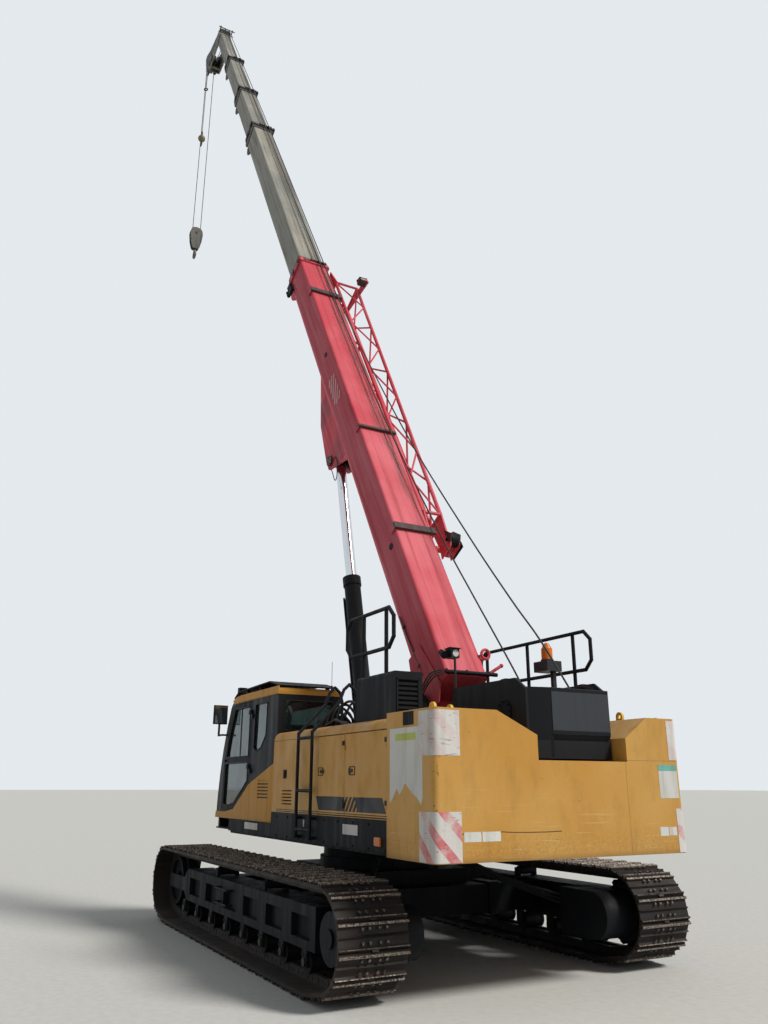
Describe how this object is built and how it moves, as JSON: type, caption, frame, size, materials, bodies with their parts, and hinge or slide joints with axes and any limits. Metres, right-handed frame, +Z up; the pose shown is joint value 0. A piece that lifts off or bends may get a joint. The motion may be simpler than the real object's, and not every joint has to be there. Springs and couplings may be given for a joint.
{
  "type": "telescopic crawler crane",
  "caption": "Crawler crane with a telescopic box boom, stowed lattice jib, hook block, slewing upper structure with glazed cab and a rear counterweight on two tracks.",
  "frame": {"origin": "on the ground under the slewing axis", "axes": "+X forward, along the tracks and under the boom; +Y to the cab side (left); +Z up"},
  "size_m": [14.7191, 3.596, 22.5548],
  "materials": {
    "paint_ochre": "weathered semi-gloss",
    "paint_black": "satin, scratched",
    "paint_red": "faded, chalky",
    "paint_grey": "weathered, streaked",
    "collar": "dark, greasy",
    "chassis": "matt, dusty",
    "track_steel": "rusty, worn bright on the bars",
    "machined_steel": "oily",
    "rod_chrome": "polished",
    "wire_rope": "greased wire",
    "hook_steel": "worn",
    "interior": "matt",
    "seat": "matt",
    "glass": "tinted green",
    "beacon": "translucent orange",
    "rubber": "matt"
  },
  "bodies": {
    "undercarriage": {"car_body": "chassis", "track_frame_left": "chassis", "track_frame_right": "chassis", "track_left": "track_steel", "track_right": "track_steel", "sprocket_left": "chassis", "sprocket_right": "chassis", "idler_left": "chassis", "idler_right": "chassis", "rollers_left": "chassis", "rollers_right": "chassis"},
    "upper": {"deck": "paint_black", "counterweight": "paint_ochre", "engine": "hook_steel", "hood_left": "paint_ochre", "hood_right": "paint_ochre", "cooler_box": "paint_black", "cab_shell": "paint_black", "cab_interior": "interior", "roof_guard": "paint_black", "mirrors": "paint_black", "ladder": "paint_black", "handrails": "paint_black", "beacon_and_lamp": "paint_black", "winch_frame": "paint_black"},
    "front_service_door": {"service_door_front": "paint_ochre"},
    "rear_service_door": {"service_door_rear": "paint_ochre"},
    "door": {"cab_door": "paint_black"},
    "rear_drum": {"drum_rear": "paint_black"},
    "front_drum": {"drum_front": "paint_black"},
    "boom": {"boom_base": "paint_red", "jib": "paint_red"},
    "section_2": {"boom_section_2": "paint_grey"},
    "section_3": {"boom_section_3": "paint_grey"},
    "section_4": {"boom_section_4": "paint_grey"},
    "section_5": {"boom_section_5": "paint_grey"},
    "sheaves": {"head_sheaves": "machined_steel"},
    "front_sheave": {"aux_sheave": "machined_steel"},
    "lift_barrel": {"cylinder_barrel": "paint_black"},
    "lift_rod": {"cylinder_rod": "rod_chrome"},
    "hoist_fall": {"hoist_ropes": "wire_rope"},
    "aux_fall": {"aux_rope": "wire_rope"},
    "aux_block": {"aux_hook": "hook_steel"},
    "block": {"hook_block": "paint_ochre"},
    "swivel_hook": {"hook": "hook_steel"}
  },
  "joints": [
    {"name": "slew", "type": "hinge", "parent": "undercarriage", "child": "upper", "pos_m": [0, 0, 1], "axis": [0, 0, 1], "continuous": true},
    {"name": "boom_luff", "type": "hinge", "parent": "upper", "child": "boom", "pos_m": [-1.4, 0, 2.3], "axis": [0, -1, 0], "range_deg": [-60, 20]},
    {"name": "cylinder_swing", "type": "hinge", "parent": "upper", "child": "lift_barrel", "pos_m": [0.115, 0, 1.25], "axis": [0, -1, 0], "range_deg": [-59.45, 19.85]},
    {"name": "cylinder_extend", "type": "slide", "parent": "lift_barrel", "child": "lift_rod", "axis": [0.2298, 0, 0.9732], "range_m": [-1.7409, 0.5806]},
    {"name": "telescope_2", "type": "slide", "parent": "boom", "child": "section_2", "axis": [0.5, 0, 0.866], "range_m": [-6.05, 0.4]},
    {"name": "telescope_3", "type": "slide", "parent": "section_2", "child": "section_3", "axis": [0.5, 0, 0.866], "range_m": [-2.12, 4.3]},
    {"name": "telescope_4", "type": "slide", "parent": "section_3", "child": "section_4", "axis": [0.5, 0, 0.866], "range_m": [-2.12, 4.3]},
    {"name": "telescope_5", "type": "slide", "parent": "section_4", "child": "section_5", "axis": [0.5, 0, 0.866], "range_m": [-2.12, 4.3]},
    {"name": "cab_door_hinge", "type": "hinge", "parent": "upper", "child": "door", "pos_m": [0.975, 1.24, 1.9], "axis": [0, 0, 1], "range_deg": [0, 160]},
    {"name": "front_service_door_hinge", "type": "hinge", "parent": "upper", "child": "front_service_door", "pos_m": [-1.663, 1.277, 1.6], "axis": [0, 0, 1], "range_deg": [0, 100]},
    {"name": "rear_service_door_hinge", "type": "hinge", "parent": "upper", "child": "rear_service_door", "pos_m": [-2.483, 1.277, 1.6], "axis": [0, 0, 1], "range_deg": [0, 100]},
    {"name": "rear_drum_spin", "type": "hinge", "parent": "upper", "child": "rear_drum", "pos_m": [-2.79, 0, 2.205], "axis": [0, 1, 0], "continuous": true},
    {"name": "front_drum_spin", "type": "hinge", "parent": "upper", "child": "front_drum", "pos_m": [-2.17, 0, 2.14], "axis": [0, 1, 0], "continuous": true},
    {"name": "head_sheaves_spin", "type": "hinge", "parent": "section_5", "child": "sheaves", "pos_m": [10.77462, 0, 22.18705], "axis": [0, 1, 0], "continuous": true},
    {"name": "aux_sheave_spin", "type": "hinge", "parent": "section_5", "child": "front_sheave", "pos_m": [11.24411, 0, 22.35824], "axis": [0, 1, 0], "continuous": true},
    {"name": "hook_swing", "type": "hinge", "parent": "section_5", "child": "hoist_fall", "pos_m": [10.77462, 0, 22.18705], "axis": [0, -1, 0], "range_deg": [-20.1, 60.1]},
    {"name": "aux_swing", "type": "hinge", "parent": "section_5", "child": "aux_fall", "pos_m": [11.24411, 0, 22.35824], "axis": [0, -1, 0], "range_deg": [-20.1, 60.1]},
    {"name": "hook_hoist", "type": "slide", "parent": "hoist_fall", "child": "block", "axis": [0, 0, 1], "range_m": [-1.6765, 5.0275], "deforming": ["hoist_ropes"]},
    {"name": "aux_hoist", "type": "slide", "parent": "aux_fall", "child": "aux_block", "axis": [0, 0, 1], "range_m": [-0.577, 1.7289], "deforming": ["aux_rope"]},
    {"name": "hook_swivel", "type": "hinge", "parent": "block", "child": "swivel_hook", "pos_m": [11.01461, 0, 15.80705], "axis": [0, 0, 1], "continuous": true}
  ],
  "couplings": [
    {"joint": "cylinder_swing", "follows": "boom_luff", "ratio": 0.99},
    {"joint": "cylinder_extend", "follows": "boom_luff", "m_per_rad": 1.662},
    {"joint": "telescope_4", "follows": "telescope_3", "ratio": 1},
    {"joint": "telescope_5", "follows": "telescope_3", "ratio": 1},
    {"joint": "hook_swing", "follows": "boom_luff", "ratio": -1},
    {"joint": "aux_swing", "follows": "boom_luff", "ratio": -1},
    {"joint": "hook_hoist", "follows": "boom_luff", "m_per_rad": -4.8},
    {"joint": "aux_hoist", "follows": "boom_luff", "m_per_rad": -1.65}
  ]
}
